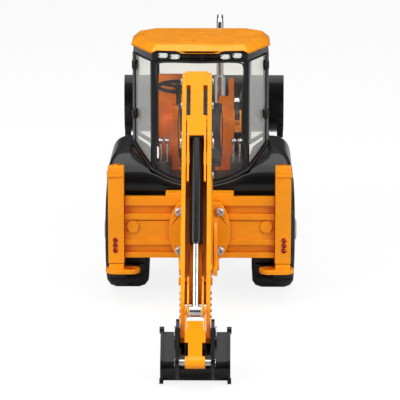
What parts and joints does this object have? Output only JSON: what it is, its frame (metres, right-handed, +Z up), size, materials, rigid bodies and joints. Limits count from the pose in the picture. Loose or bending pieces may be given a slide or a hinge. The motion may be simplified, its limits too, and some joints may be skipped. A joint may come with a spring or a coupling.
{
  "type": "toy backhoe loader",
  "caption": "Die-cast toy backhoe loader with a jointed digging arm on a sliding rear frame, a raised front shovel, drop legs, glazed cab and rolling, steering wheels.",
  "frame": {"origin": "on the ground plane, midway between the rear tyres, directly under the rear axle", "axes": "+X is the machine's right side seen from behind, +Y points forward toward the loader shovel, +Z is up"},
  "size_m": [0.0796, 0.2878, 0.1069],
  "materials": {
    "orange_paint": "smooth glossy enamel",
    "orange_plastic": "moulded, semi-gloss",
    "gloss_black": "glossy black",
    "matte_black": "satin moulded",
    "seat_vinyl": "soft matt vinyl",
    "steel": "bare machined",
    "chrome": "polished",
    "lamp_lens": "ribbed lens",
    "red_lens": "domed reflector",
    "window": "clear",
    "grey_paint": "satin enamel",
    "tyre": "matt rubber"
  },
  "bodies": {
    "machine": {"chassis": "matte_black", "rear_body": "gloss_black", "bonnet": "orange_paint", "grille": "gloss_black", "cab_frame": "gloss_black", "cab_glass": "window", "roof": "orange_paint", "lamp_band": "gloss_black", "work_lamps": "lamp_lens", "cab_interior": "orange_plastic", "seat_base": "matte_black", "seat_cushion": "seat_vinyl", "steering_wheel": "matte_black", "control_levers": "steel", "exhaust": "chrome", "door_hinges": "gloss_black", "rear_axle": "matte_black", "front_axle": "matte_black", "side_shift_frame": "orange_paint", "stabiliser_posts": "orange_paint", "reflectors": "red_lens", "loader_towers": "gloss_black", "side_tanks": "matte_black"},
    "carriage": {"carriage": "orange_paint", "carriage_screws": "steel"},
    "kingpost": {"kingpost": "orange_paint"},
    "boom": {"boom": "orange_paint", "boom_pins": "steel"},
    "dipper": {"dipper": "orange_paint", "dipper_pins": "steel"},
    "bucket": {"bucket": "gloss_black", "bucket_teeth": "grey_paint", "bucket_pin": "steel"},
    "levers": {"tipping_levers": "orange_paint"},
    "link": {"bucket_link": "orange_paint"},
    "bucket_barrel": {"bucket_cylinder_barrel": "gloss_black"},
    "bucket_rod": {"bucket_cylinder_rod": "chrome"},
    "dipper_barrel": {"dipper_cylinder_barrel": "gloss_black"},
    "dipper_rod": {"dipper_cylinder_rod": "chrome"},
    "boom_barrel": {"boom_cylinder_barrel": "gloss_black"},
    "boom_rod": {"boom_cylinder_rod": "chrome"},
    "leg_left": {"stabiliser_leg_left": "orange_paint"},
    "leg_right": {"stabiliser_leg_right": "orange_paint"},
    "arms": {"loader_arms": "orange_paint"},
    "lift_barrels": {"lift_cylinder_barrels": "gloss_black"},
    "lift_rods": {"lift_cylinder_rods": "chrome"},
    "shovel": {"shovel": "gloss_black"},
    "tilt_barrels": {"tilt_cylinder_barrels": "gloss_black"},
    "tilt_rods": {"tilt_cylinder_rods": "chrome"},
    "knuckle_left": {"knuckle_left": "matte_black"},
    "knuckle_right": {"knuckle_right": "matte_black"},
    "wheel_rear_left": {"rim_rear_left": "grey_paint", "tyre_rear_left": "tyre"},
    "wheel_rear_right": {"rim_rear_right": "grey_paint", "tyre_rear_right": "tyre"},
    "wheel_front_left": {"rim_front_left": "grey_paint", "tyre_front_left": "tyre"},
    "wheel_front_right": {"rim_front_right": "grey_paint", "tyre_front_right": "tyre"}
  },
  "joints": [
    {"name": "side_shift", "type": "slide", "parent": "machine", "child": "carriage", "axis": [1, 0, 0], "range_m": [-0.015, 0.015]},
    {"name": "slew", "type": "hinge", "parent": "carriage", "child": "kingpost", "pos_m": [0, -0.039, 0.03], "axis": [0, 0, 1], "range_deg": [-70, 70]},
    {"name": "boom_lift", "type": "hinge", "parent": "kingpost", "child": "boom", "pos_m": [0, -0.048, 0.021], "axis": [1, 0, 0], "range_deg": [-16, 10]},
    {"name": "dipper_swing", "type": "hinge", "parent": "boom", "child": "dipper", "pos_m": [0, -0.0964, 0.0798], "axis": [1, 0, 0], "range_deg": [-24, 26]},
    {"name": "bucket_curl", "type": "hinge", "parent": "dipper", "child": "bucket", "pos_m": [0, -0.137, 0.019], "axis": [1, 0, 0], "range_deg": [-30, 30]},
    {"name": "lever_swing", "type": "hinge", "parent": "dipper", "child": "levers", "pos_m": [0, -0.1305, 0.036], "axis": [1, 0, 0], "range_deg": [-31.5, 31.5]},
    {"name": "link_swing", "type": "hinge", "parent": "levers", "child": "link", "pos_m": [0, -0.1385, 0.027], "axis": [1, 0, 0], "range_deg": [-31.5, 31.5]},
    {"name": "boom_barrel_swing", "type": "hinge", "parent": "kingpost", "child": "boom_barrel", "pos_m": [0, -0.0355, 0.046], "axis": [1, 0, 0], "range_deg": [-18.09, 11.31]},
    {"name": "boom_rod_slide", "type": "slide", "parent": "boom_barrel", "child": "boom_rod", "axis": [0, -0.8725, 0.4886], "range_m": [-0.00785, 0.0049]},
    {"name": "dipper_barrel_swing", "type": "hinge", "parent": "boom", "child": "dipper_barrel", "pos_m": [0, -0.057, 0.066], "axis": [1, 0, 0], "range_deg": [-1.78, 1.93]},
    {"name": "dipper_rod_slide", "type": "slide", "parent": "dipper_barrel", "child": "dipper_rod", "axis": [0, -0.7749, 0.6321], "range_m": [-0.00579, 0.00628]},
    {"name": "bucket_barrel_swing", "type": "hinge", "parent": "dipper", "child": "bucket_barrel", "pos_m": [0, -0.10103, 0.08375], "axis": [1, 0, 0], "range_deg": [-5.28, 5.28]},
    {"name": "bucket_rod_slide", "type": "slide", "parent": "bucket_barrel", "child": "bucket_rod", "axis": [0, -0.551, -0.8345], "range_m": [-0.0009, 0.0009]},
    {"name": "left_leg_drop", "type": "slide", "parent": "machine", "child": "leg_left", "axis": [0, 0, -1], "range_m": [0, 0.012]},
    {"name": "right_leg_drop", "type": "slide", "parent": "machine", "child": "leg_right", "axis": [0, 0, -1], "range_m": [0, 0.012]},
    {"name": "loader_lift", "type": "hinge", "parent": "machine", "child": "arms", "pos_m": [0, 0.0365, 0.056], "axis": [1, 0, 0], "range_deg": [-30, 24]},
    {"name": "shovel_tilt", "type": "hinge", "parent": "arms", "child": "shovel", "pos_m": [0, 0.112, 0.046], "axis": [1, 0, 0], "range_deg": [-32, 26]},
    {"name": "lift_barrel_swing", "type": "hinge", "parent": "machine", "child": "lift_barrels", "pos_m": [0, 0.039, 0.042], "axis": [1, 0, 0], "range_deg": [-32.13, 25.71]},
    {"name": "lift_rod_slide", "type": "slide", "parent": "lift_barrels", "child": "lift_rods", "axis": [0, 0.9935, 0.1135], "range_m": [-0.0075, 0.006]},
    {"name": "tilt_barrel_swing", "type": "hinge", "parent": "arms", "child": "tilt_barrels", "pos_m": [0, 0.066, 0.06], "axis": [1, 0, 0], "range_deg": [-0.252, 0.311]},
    {"name": "tilt_rod_slide", "type": "slide", "parent": "tilt_barrels", "child": "tilt_rods", "axis": [0, 0.9985, -0.0549], "range_m": [-0.00505, 0.00622]},
    {"name": "steer_left", "type": "hinge", "parent": "machine", "child": "knuckle_left", "pos_m": [-0.0205, 0.068, 0.017], "axis": [0, 0, 1], "range_deg": [-22, 22]},
    {"name": "steer_right", "type": "hinge", "parent": "machine", "child": "knuckle_right", "pos_m": [0.0205, 0.068, 0.017], "axis": [0, 0, 1], "range_deg": [-22.4, 22.4]},
    {"name": "rear_wheel_left_spin", "type": "hinge", "parent": "machine", "child": "wheel_rear_left", "pos_m": [-0.03, 0, 0.024], "axis": [1, 0, 0], "continuous": true},
    {"name": "front_wheel_left_spin", "type": "hinge", "parent": "knuckle_left", "child": "wheel_front_left", "pos_m": [-0.03, 0.068, 0.017], "axis": [1, 0, 0], "continuous": true},
    {"name": "rear_wheel_right_spin", "type": "hinge", "parent": "machine", "child": "wheel_rear_right", "pos_m": [0.03, 0, 0.024], "axis": [1, 0, 0], "continuous": true},
    {"name": "front_wheel_right_spin", "type": "hinge", "parent": "knuckle_right", "child": "wheel_front_right", "pos_m": [0.03, 0.068, 0.017], "axis": [1, 0, 0], "continuous": true}
  ],
  "couplings": [
    {"joint": "lever_swing", "follows": "bucket_curl", "ratio": 1},
    {"joint": "link_swing", "follows": "bucket_curl", "ratio": -1},
    {"joint": "boom_barrel_swing", "follows": "boom_lift", "ratio": 1.1086},
    {"joint": "boom_rod_slide", "follows": "boom_lift", "m_per_rad": 0.027547},
    {"joint": "dipper_barrel_swing", "follows": "dipper_swing", "ratio": 0.072824},
    {"joint": "dipper_rod_slide", "follows": "dipper_swing", "m_per_rad": 0.013558},
    {"joint": "bucket_barrel_swing", "follows": "bucket_curl", "ratio": 0.17247},
    {"joint": "bucket_rod_slide", "follows": "bucket_curl", "m_per_rad": 0.001688},
    {"joint": "lift_barrel_swing", "follows": "loader_lift", "ratio": 1.0502},
    {"joint": "lift_rod_slide", "follows": "loader_lift", "m_per_rad": 0.014043},
    {"joint": "tilt_barrel_swing", "follows": "shovel_tilt", "ratio": -0.009516},
    {"joint": "tilt_rod_slide", "follows": "shovel_tilt", "m_per_rad": -0.010921},
    {"joint": "steer_right", "follows": "steer_left", "ratio": 1}
  ]
}
